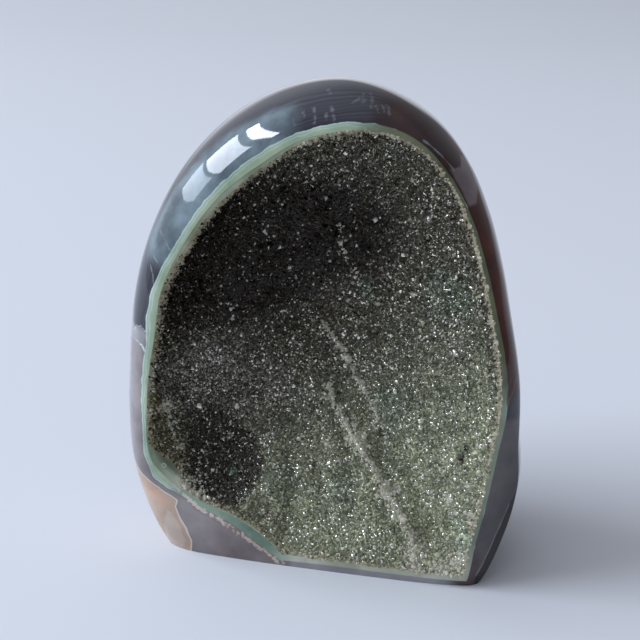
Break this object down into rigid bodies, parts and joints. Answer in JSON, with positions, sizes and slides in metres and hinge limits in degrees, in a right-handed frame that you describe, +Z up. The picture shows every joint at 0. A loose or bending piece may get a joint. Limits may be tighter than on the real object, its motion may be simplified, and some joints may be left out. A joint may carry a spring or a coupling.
{
  "type": "druzy agate geode",
  "caption": "Free-standing polished agate geode on a flat sawn base, its front hollow lined with a sparkling crust of small quartz crystals.",
  "frame": {"origin": "centre of the bounding box, on the plane of the flat base, z = 0", "axes": "+Z up, the hollow opens toward -Y and leans back, +X is to the right of a viewer who faces the hollow"},
  "size_m": [0.0924, 0.0549, 0.105],
  "materials": {
    "agate_body": "polished dark grey and bluish chalcedony with a grey-green band round the hollow, a maroon area at the right and a cream patch at the lower left",
    "druzy_crust": "unpolished small glittering quartz crystals, smoky black-green with pale grains along the seams and the edge"
  },
  "bodies": {
    "root": {"agate_body": "agate_body", "druzy_crust": "druzy_crust"}
  },
  "joints": []
}
